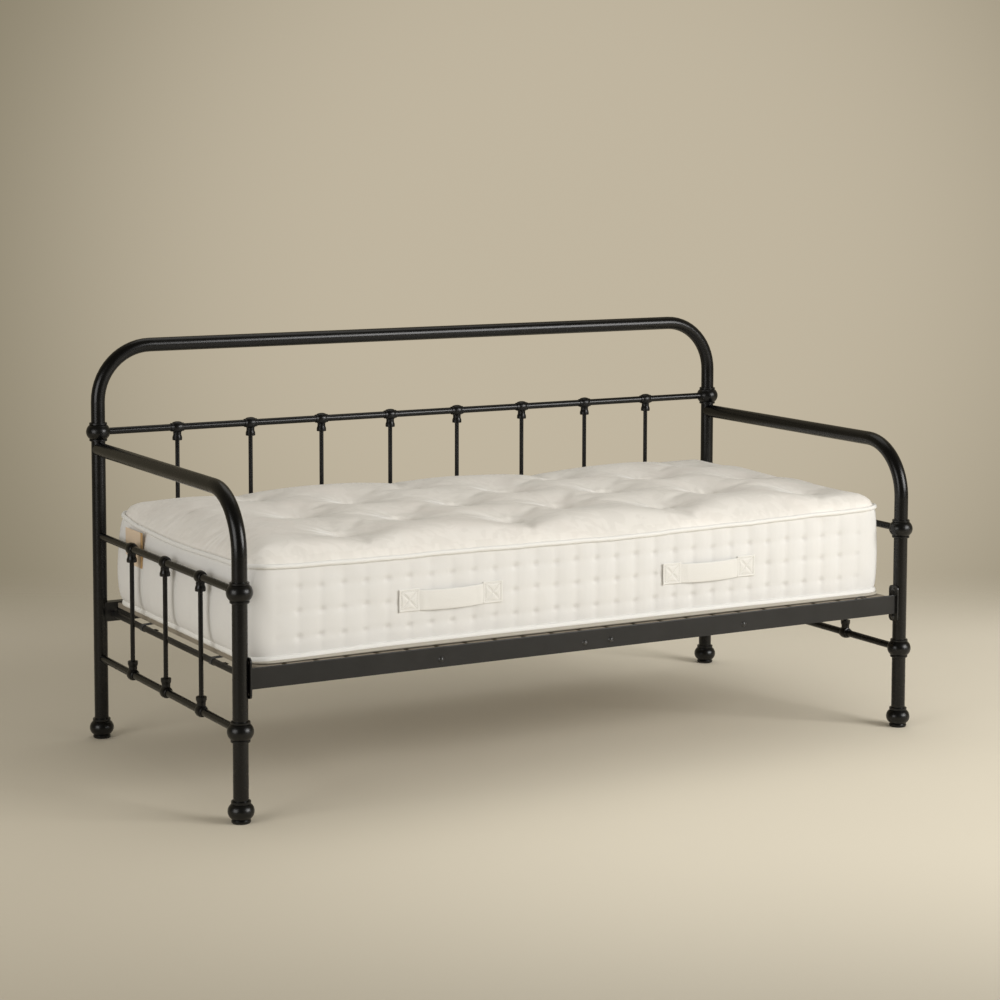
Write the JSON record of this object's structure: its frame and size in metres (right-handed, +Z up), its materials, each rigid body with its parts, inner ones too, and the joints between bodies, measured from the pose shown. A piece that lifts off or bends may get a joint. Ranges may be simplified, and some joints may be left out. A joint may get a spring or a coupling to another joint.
{
  "type": "daybed",
  "caption": "Tubular steel daybed with a bent back hoop, curved arms, spindle sides, ball collars and feet, a slatted base and a loose tufted mattress.",
  "frame": {"origin": "on the floor, midway between the four posts", "axes": "+X along the bed to the viewer's right, +Y towards the back, +Z up"},
  "size_m": [2.055, 1.021, 1.092],
  "materials": {
    "black_paint": "satin black powder coat on steel tube",
    "black_castings": "satin black paint on castings",
    "plated_steel": "zinc plated",
    "slat_wood": "plain sanded wood",
    "webbing": "woven black tape",
    "clip_plastic": "matte black",
    "ticking": "cream woven cloth, tufted",
    "handle_tape": "cream woven tape",
    "tag_cloth": "tan woven label, plain"
  },
  "bodies": {
    "frame": {"back_castings": "black_castings", "back_hoop": "black_paint", "back_left_collar": "black_castings", "back_left_foot": "black_castings", "back_left_ledge": "black_paint", "back_mid_rail": "black_paint", "back_right_collar": "black_castings", "back_right_foot": "black_castings", "back_right_ledge": "black_paint", "back_side_rail": "black_paint", "back_spindle_1": "black_paint", "back_spindle_2": "black_paint", "back_spindle_3": "black_paint", "back_spindle_4": "black_paint", "back_spindle_5": "black_paint", "back_spindle_6": "black_paint", "back_spindle_7": "black_paint", "back_spindle_8": "black_paint", "end_plate_bolts": "black_paint", "front_left_end_plate": "black_paint", "front_left_foot": "black_castings", "front_left_ledge": "black_paint", "front_left_lower_collar": "black_castings", "front_left_upper_collar": "black_castings", "front_right_end_plate": "black_paint", "front_right_foot": "black_castings", "front_right_ledge": "black_paint", "front_right_lower_collar": "black_castings", "front_right_upper_collar": "black_castings", "front_side_rail": "black_paint", "ledge_bolts": "black_paint", "ledge_nuts": "plated_steel", "left_arm": "black_paint", "left_arm_lower_castings": "black_castings", "left_arm_lower_rail": "black_paint", "left_arm_mid_rail": "black_paint", "left_arm_spindle_1": "black_paint", "left_arm_spindle_2": "black_paint", "left_arm_spindle_3": "black_paint", "left_arm_upper_castings": "black_castings", "left_end_bar": "black_paint", "post_inserts": "plated_steel", "right_arm": "black_paint", "right_arm_lower_castings": "black_castings", "right_arm_lower_rail": "black_paint", "right_arm_mid_rail": "black_paint", "right_arm_spindle_1": "black_paint", "right_arm_spindle_2": "black_paint", "right_arm_spindle_3": "black_paint", "right_arm_upper_castings": "black_castings", "right_end_bar": "black_paint", "slat_clip": "clip_plastic", "slat_tapes": "webbing", "slats": "slat_wood"},
    "mattress": {"mattress": "ticking", "left_handle": "handle_tape", "right_handle": "handle_tape", "mattress_tag": "tag_cloth"}
  },
  "joints": [
    {"name": "mattress_lift", "type": "slide", "parent": "frame", "child": "mattress", "axis": [0, 0, 1], "range_m": [0, 0.45]}
  ]
}
